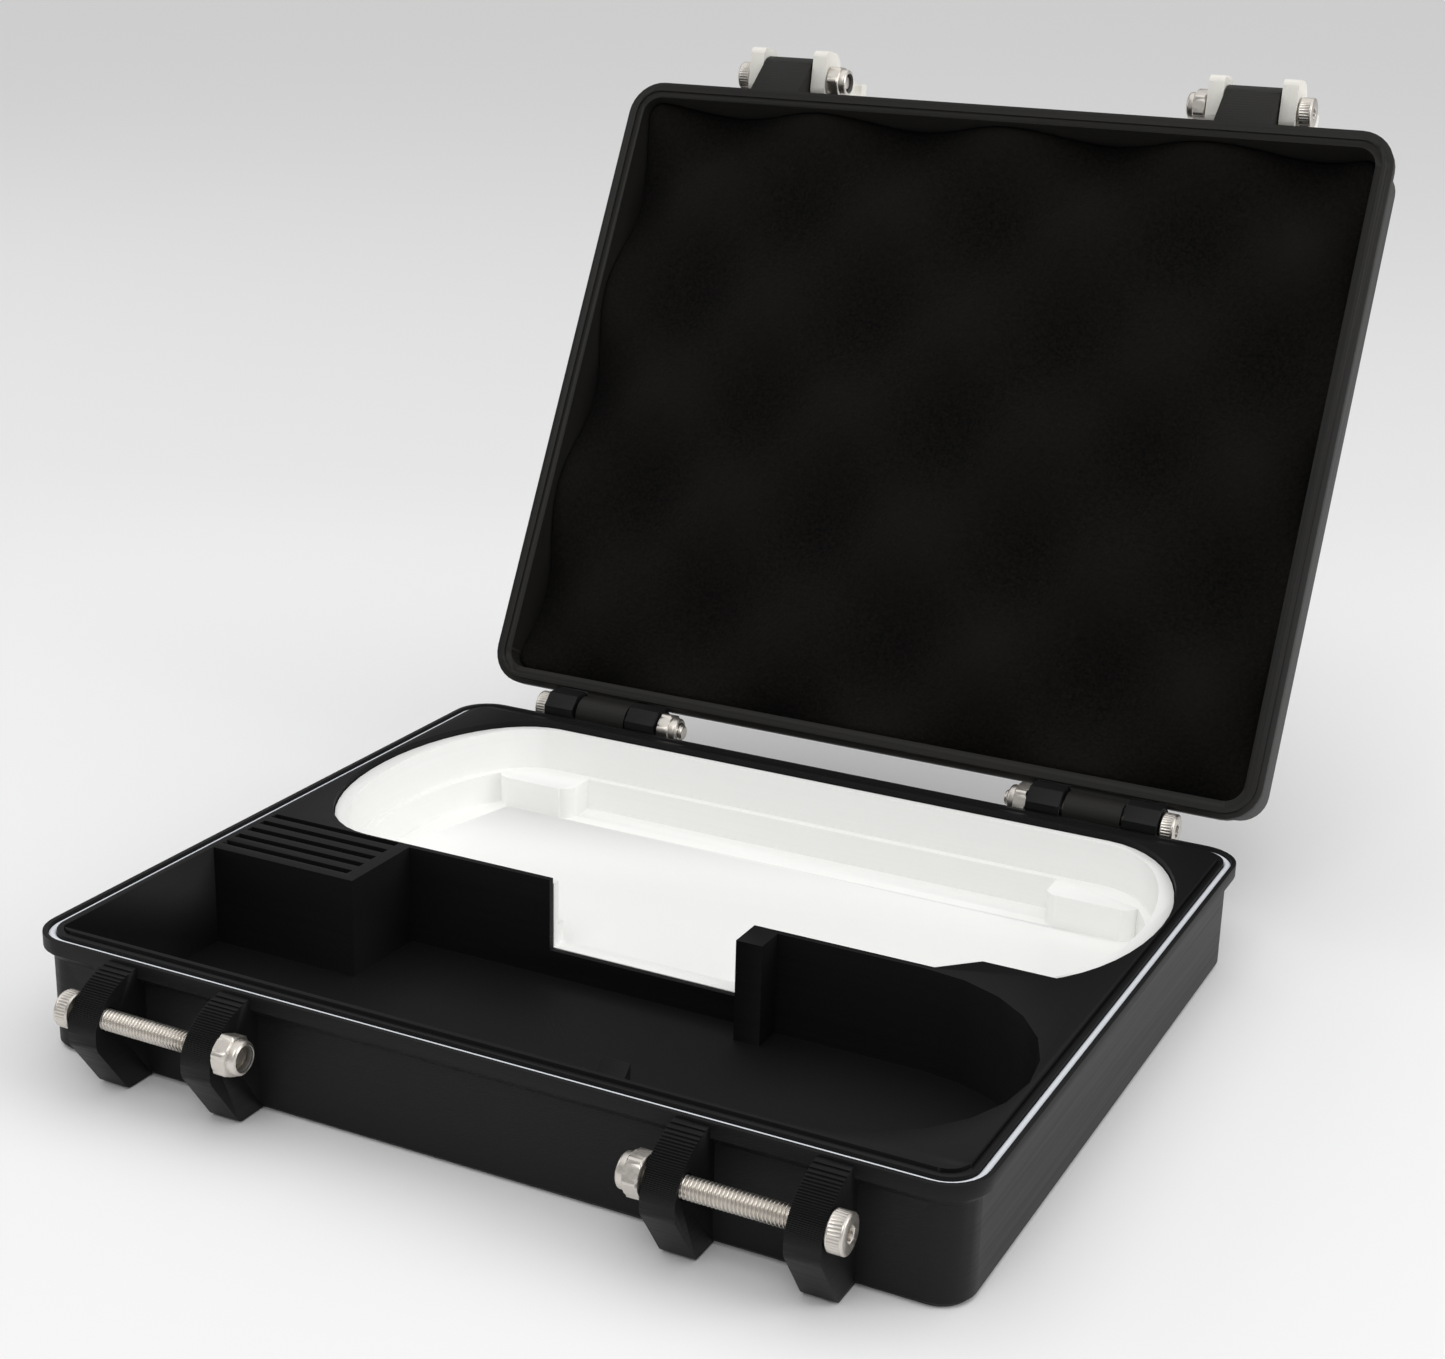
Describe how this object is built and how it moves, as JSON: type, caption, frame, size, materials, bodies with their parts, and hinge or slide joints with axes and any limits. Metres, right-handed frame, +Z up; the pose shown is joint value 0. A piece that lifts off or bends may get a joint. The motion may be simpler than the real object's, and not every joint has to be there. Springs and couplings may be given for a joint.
{
  "type": "hinged hard case",
  "caption": "Shallow black printed hard case for a handheld console: hinged lid with egg-crate foam, white console tray, black organiser with card slots, white hook latches on socket screws.",
  "frame": {"origin": "middle of the base's flat underside", "axes": "+X to the case's right, +Y to its back, where the hinges are, +Z up; the lid stands open at rest"},
  "size_m": [0.186, 0.2781, 0.1706],
  "materials": {
    "black_shell": "layered, satin",
    "black_insert": "layered, matt",
    "white_tray": "layered, satin",
    "white_latch": "layered, satin",
    "gasket_rubber": "matt",
    "stainless_steel": "turned and knurled",
    "nylon": "satin",
    "black_foam": "open-cell, matt"
  },
  "bodies": {
    "base": {"base_shell": "black_shell", "gasket": "gasket_rubber", "organiser_insert": "black_insert", "console_tray": "white_tray", "hinge_screw_left": "stainless_steel", "hinge_nut_left": "stainless_steel", "hinge_nylon_left": "nylon", "hinge_screw_right": "stainless_steel", "hinge_nut_right": "stainless_steel", "hinge_nylon_right": "nylon", "catch_screw_left": "stainless_steel", "catch_nut_left": "stainless_steel", "catch_nylon_left": "nylon", "catch_screw_right": "stainless_steel", "catch_nut_right": "stainless_steel", "catch_nylon_right": "nylon"},
    "lid": {"lid_shell": "black_shell", "lid_foam": "black_foam", "latch_screw_left": "stainless_steel", "latch_nut_left": "stainless_steel", "latch_nylon_left": "nylon", "latch_screw_right": "stainless_steel", "latch_nut_right": "stainless_steel", "latch_nylon_right": "nylon"},
    "latch_left": {"latch_left": "white_latch"},
    "latch_right": {"latch_right": "white_latch"}
  },
  "joints": [
    {"name": "lid_hinge", "type": "hinge", "parent": "base", "child": "lid", "pos_m": [0, 0.0799, 0.0232], "axis": [-1, 0, 0], "range_deg": [-117, 0]},
    {"name": "latch_left_pivot", "type": "hinge", "parent": "lid", "child": "latch_left", "pos_m": [-0.0574, 0.16513, 0.16339], "axis": [-1, 0, 0], "range_deg": [-162, 30]},
    {"name": "latch_right_pivot", "type": "hinge", "parent": "lid", "child": "latch_right", "pos_m": [0.0574, 0.16513, 0.16339], "axis": [-1, 0, 0], "range_deg": [-162, 30]}
  ]
}
